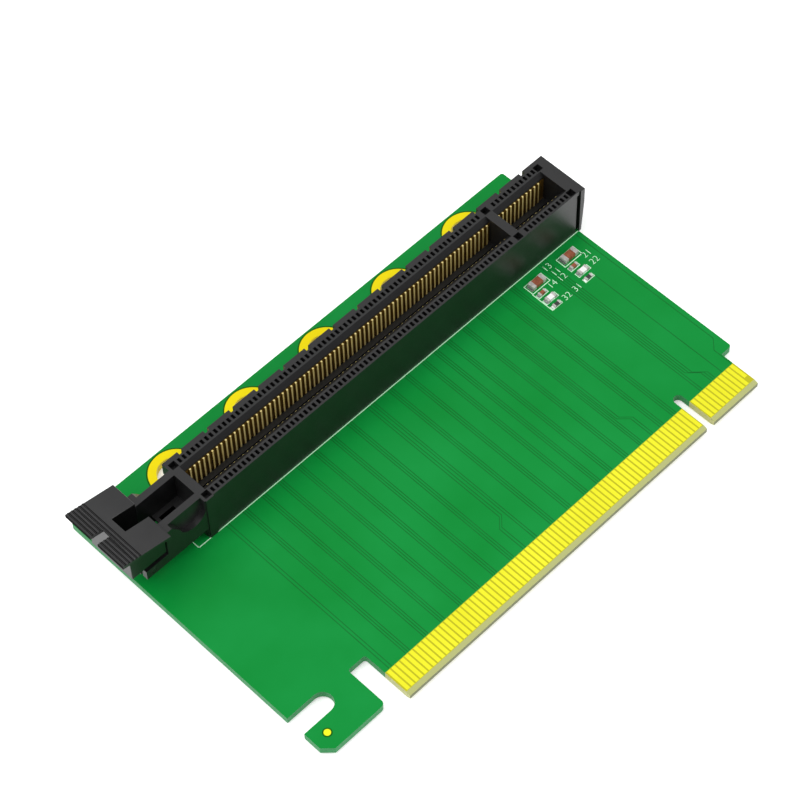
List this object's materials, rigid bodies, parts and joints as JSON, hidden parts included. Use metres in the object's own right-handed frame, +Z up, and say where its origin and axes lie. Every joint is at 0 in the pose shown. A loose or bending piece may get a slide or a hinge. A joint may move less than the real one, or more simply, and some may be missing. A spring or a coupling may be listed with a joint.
{
  "type": "slot adapter card",
  "caption": "Flat green expansion card with a gold-fingered card edge, a long black card slot with metal contacts and a hinged retention latch.",
  "frame": {"origin": "middle of the key notch at the card edge, on the component face of the board", "axes": "+X along the card edge towards the short tongue, +Y from the card edge towards the slot, +Z up out of the component face"},
  "size_m": [0.1093, 0.0632, 0.0182],
  "materials": {
    "board_laminate": "satin solder mask over glass laminate",
    "gold_plate": "satin gold plating",
    "ring_gold": "satin gold plating",
    "housing_plastic": "fine matte",
    "latch_plastic": "fine matte",
    "contact_metal": "satin",
    "solder": "satin",
    "tinned_metal": "satin",
    "capacitor_ceramic": "matte",
    "lamp_body": "clear white",
    "resistor_body": "glazed black"
  },
  "bodies": {
    "card": {"circuit_board": "board_laminate", "component_side_fingers": "gold_plate", "solder_side_fingers": "gold_plate", "ring_pads": "ring_gold", "alignment_dot": "ring_gold", "slot_housing": "housing_plastic", "near_outer_contacts": "contact_metal", "near_inner_contacts": "contact_metal", "far_inner_contacts": "contact_metal", "far_outer_contacts": "contact_metal", "outer_solder_joints": "solder", "inner_solder_joints": "solder", "large_capacitor_bodies": "capacitor_ceramic", "large_capacitor_terminals": "tinned_metal", "small_capacitor_bodies": "capacitor_ceramic", "small_capacitor_terminals": "tinned_metal", "lamp_bodies": "lamp_body", "lamp_terminals": "tinned_metal", "resistor_bodies": "resistor_body", "resistor_terminals": "tinned_metal", "chip_solder_fillets": "solder"},
    "latch": {"retention_latch": "latch_plastic"}
  },
  "joints": [
    {"name": "latch_pivot", "type": "hinge", "parent": "card", "child": "latch", "pos_m": [-0.0865, 0.04925, 0.00395], "axis": [0, -1, 0], "range_deg": [0, 30]}
  ]
}
